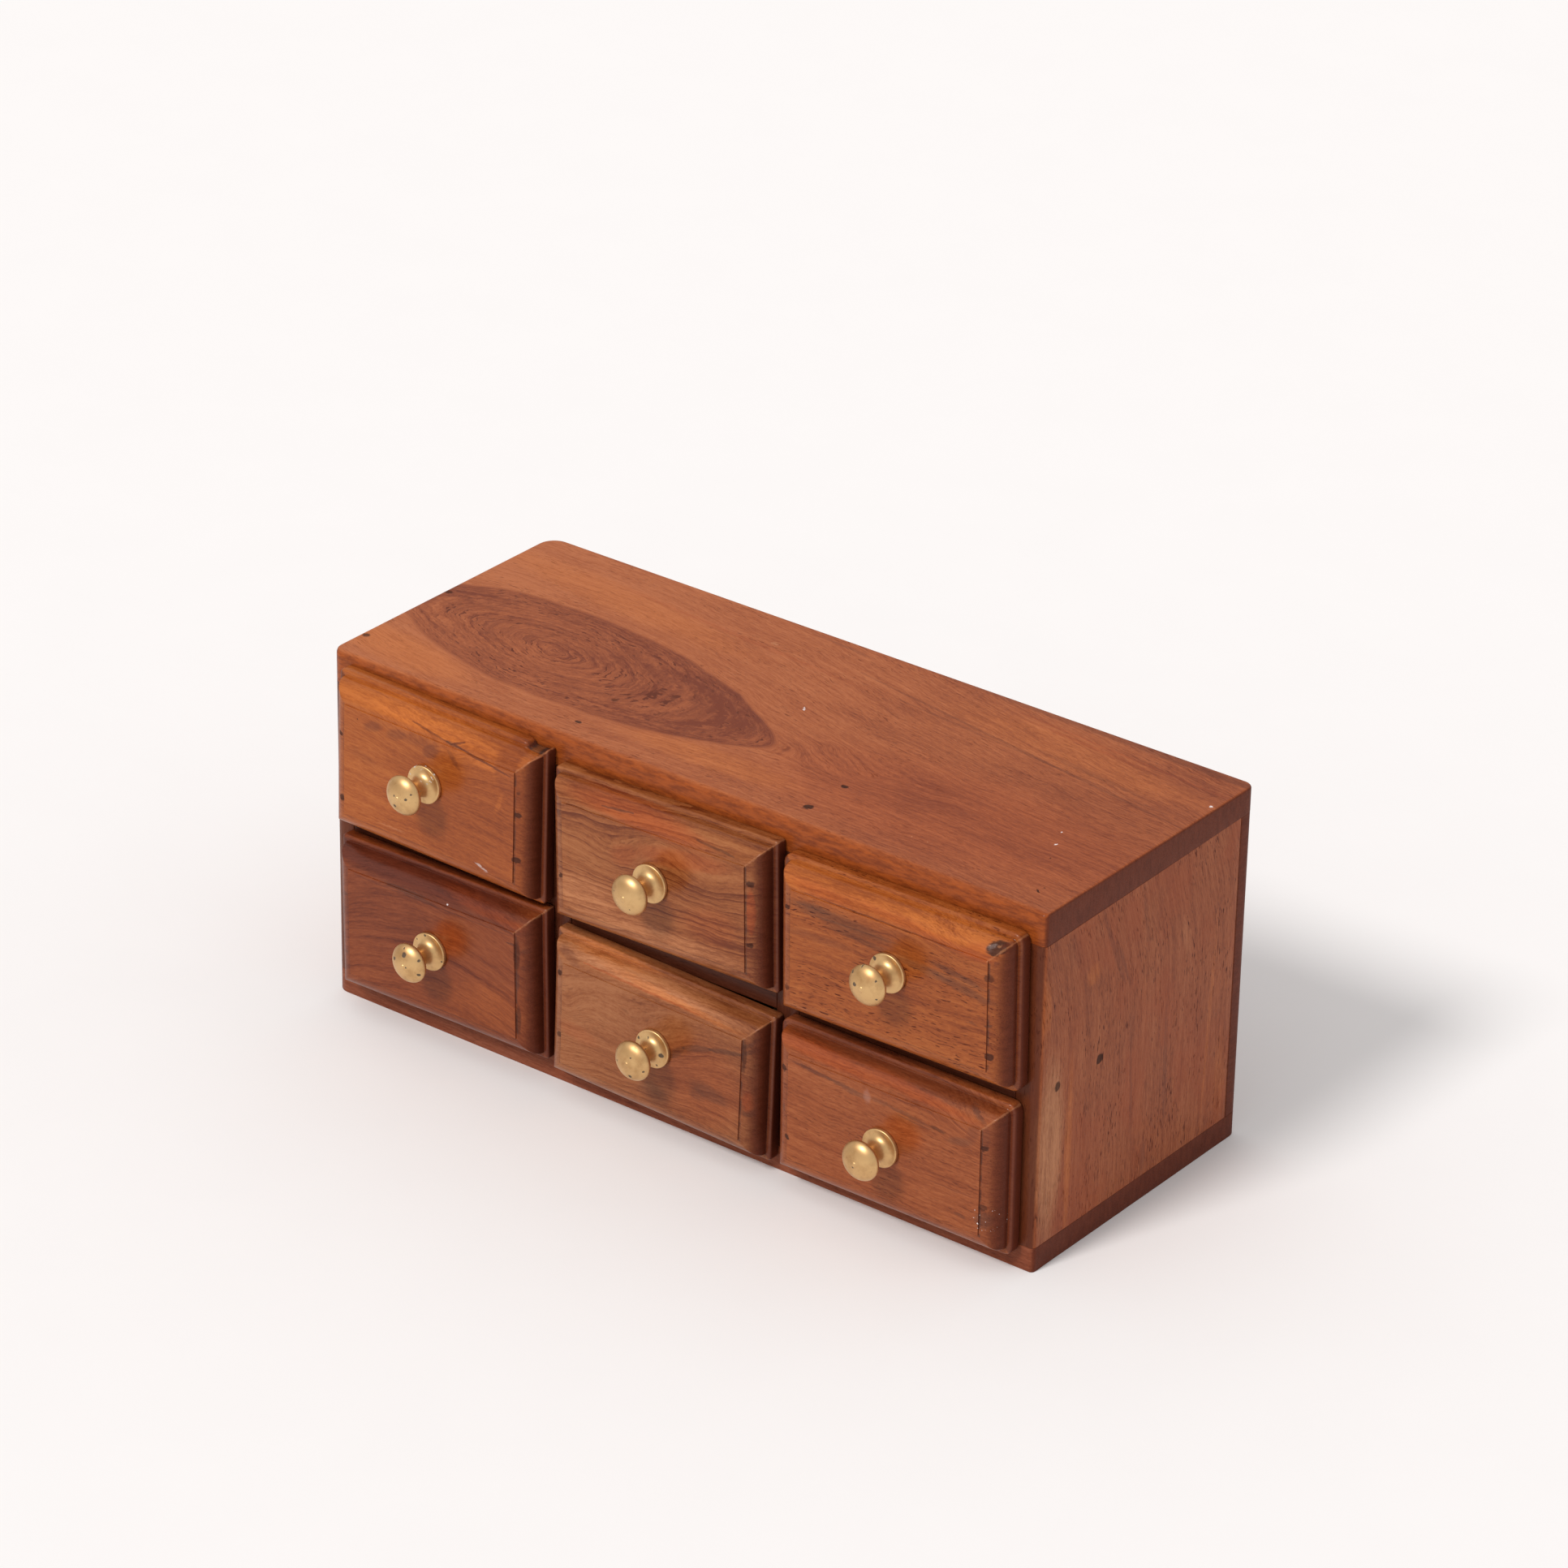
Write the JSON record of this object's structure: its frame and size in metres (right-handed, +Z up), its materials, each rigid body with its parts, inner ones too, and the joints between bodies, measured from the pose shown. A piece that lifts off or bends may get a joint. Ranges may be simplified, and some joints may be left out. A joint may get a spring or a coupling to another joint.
{
  "type": "miniature chest of drawers",
  "caption": "Long low miniature hardwood chest: nailed box carcase with two rows of lipped, moulded drawers that slide out, each with a turned brass knob.",
  "frame": {"origin": "centre of the carcase's underside", "axes": "+X to the right along the length, -Y to the front where the drawers open, +Z up"},
  "size_m": [0.3, 0.1452, 0.132],
  "materials": {
    "top_wood": "figured reddish-brown hardwood, satin varnish, dark oval growth figure",
    "case_wood": "reddish-brown hardwood, satin varnish, darker end grain",
    "inner_wood": "plain brown hardwood, dull, little varnish",
    "front_wood": "orange-brown figured hardwood, satin varnish, worn edges",
    "box_wood": "pale unvarnished hardwood",
    "brass": "satin turned brass with small dark pits",
    "steel": "dull dark steel"
  },
  "bodies": {
    "carcase": {"top_board": "top_wood", "bottom_board": "case_wood", "left_side": "case_wood", "right_side": "case_wood", "back_panel": "case_wood", "left_divider": "inner_wood", "right_divider": "inner_wood", "left_shelf": "inner_wood", "middle_shelf": "inner_wood", "right_shelf": "inner_wood", "top_nail_left_front": "steel", "top_nail_left_rear": "steel", "top_nail_right_front": "steel", "top_nail_right_rear": "steel", "side_nail_left_front": "steel", "side_nail_left_rear": "steel", "side_nail_right_front": "steel", "side_nail_right_rear": "steel"},
    "drawer_1": {"drawer_1_front": "front_wood", "drawer_1_left_side": "box_wood", "drawer_1_right_side": "box_wood", "drawer_1_back": "box_wood", "drawer_1_bottom": "box_wood", "drawer_1_knob": "brass", "drawer_1_knob_screw": "steel"},
    "drawer_2": {"drawer_2_front": "front_wood", "drawer_2_left_side": "box_wood", "drawer_2_right_side": "box_wood", "drawer_2_back": "box_wood", "drawer_2_bottom": "box_wood", "drawer_2_knob": "brass", "drawer_2_knob_screw": "steel"},
    "drawer_3": {"drawer_3_front": "front_wood", "drawer_3_left_side": "box_wood", "drawer_3_right_side": "box_wood", "drawer_3_back": "box_wood", "drawer_3_bottom": "box_wood", "drawer_3_knob": "brass", "drawer_3_knob_screw": "steel"},
    "drawer_4": {"drawer_4_front": "front_wood", "drawer_4_left_side": "box_wood", "drawer_4_right_side": "box_wood", "drawer_4_back": "box_wood", "drawer_4_bottom": "box_wood", "drawer_4_knob": "brass", "drawer_4_knob_screw": "steel"},
    "drawer_5": {"drawer_5_front": "front_wood", "drawer_5_left_side": "box_wood", "drawer_5_right_side": "box_wood", "drawer_5_back": "box_wood", "drawer_5_bottom": "box_wood", "drawer_5_knob": "brass", "drawer_5_knob_screw": "steel"},
    "drawer_6": {"drawer_6_front": "front_wood", "drawer_6_left_side": "box_wood", "drawer_6_right_side": "box_wood", "drawer_6_back": "box_wood", "drawer_6_bottom": "box_wood", "drawer_6_knob": "brass", "drawer_6_knob_screw": "steel"}
  },
  "joints": [
    {"name": "drawer_1_slide", "type": "slide", "parent": "carcase", "child": "drawer_1", "axis": [0, -1, 0], "range_m": [0, 0.085]},
    {"name": "drawer_2_slide", "type": "slide", "parent": "carcase", "child": "drawer_2", "axis": [0, -1, 0], "range_m": [0, 0.085]},
    {"name": "drawer_3_slide", "type": "slide", "parent": "carcase", "child": "drawer_3", "axis": [0, -1, 0], "range_m": [0, 0.085]},
    {"name": "drawer_4_slide", "type": "slide", "parent": "carcase", "child": "drawer_4", "axis": [0, -1, 0], "range_m": [0, 0.085]},
    {"name": "drawer_5_slide", "type": "slide", "parent": "carcase", "child": "drawer_5", "axis": [0, -1, 0], "range_m": [0, 0.085]},
    {"name": "drawer_6_slide", "type": "slide", "parent": "carcase", "child": "drawer_6", "axis": [0, -1, 0], "range_m": [0, 0.085]}
  ]
}
